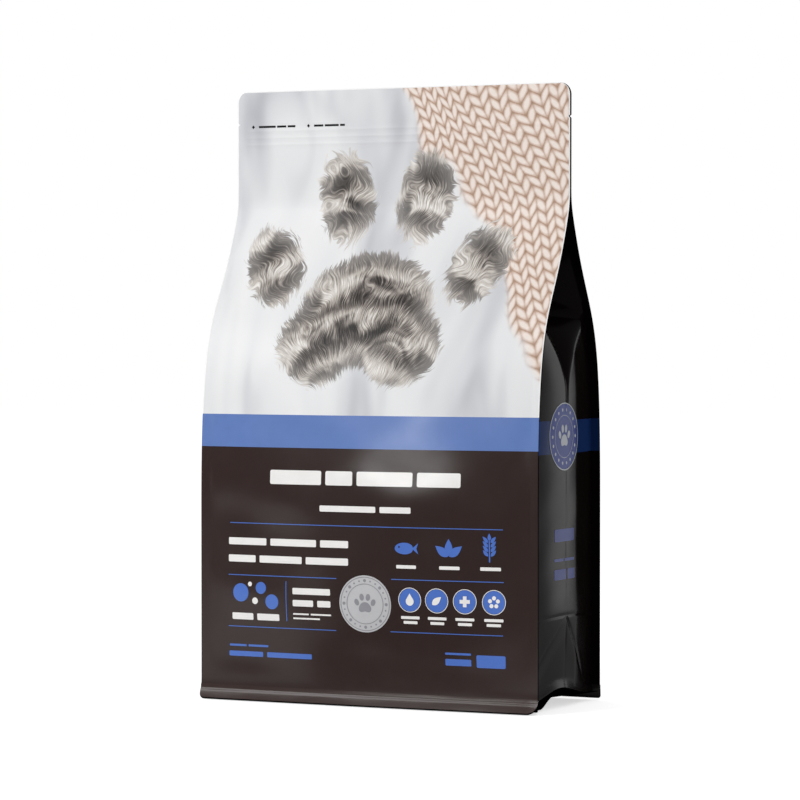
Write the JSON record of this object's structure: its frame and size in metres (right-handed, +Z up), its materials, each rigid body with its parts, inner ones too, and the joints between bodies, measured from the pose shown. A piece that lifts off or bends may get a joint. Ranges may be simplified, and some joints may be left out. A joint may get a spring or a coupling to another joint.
{
  "type": "pet food bag",
  "caption": "Filled flat-bottom pouch for dry pet food, with folded side gussets, welded corner fins, hems at the foot and a flat sealed mouth.",
  "frame": {"origin": "middle of the base, on the ground", "axes": "+Z up along the bag's height, +X to the right across the front panel, -Y out of the front panel"},
  "size_m": [0.21, 0.1027, 0.349],
  "materials": {
    "film": "matt printed polyester and polyethylene laminate, dark brown with a pale upper front and a blue band"
  },
  "bodies": {
    "root": {"pet_food_bag": "film"}
  },
  "joints": []
}
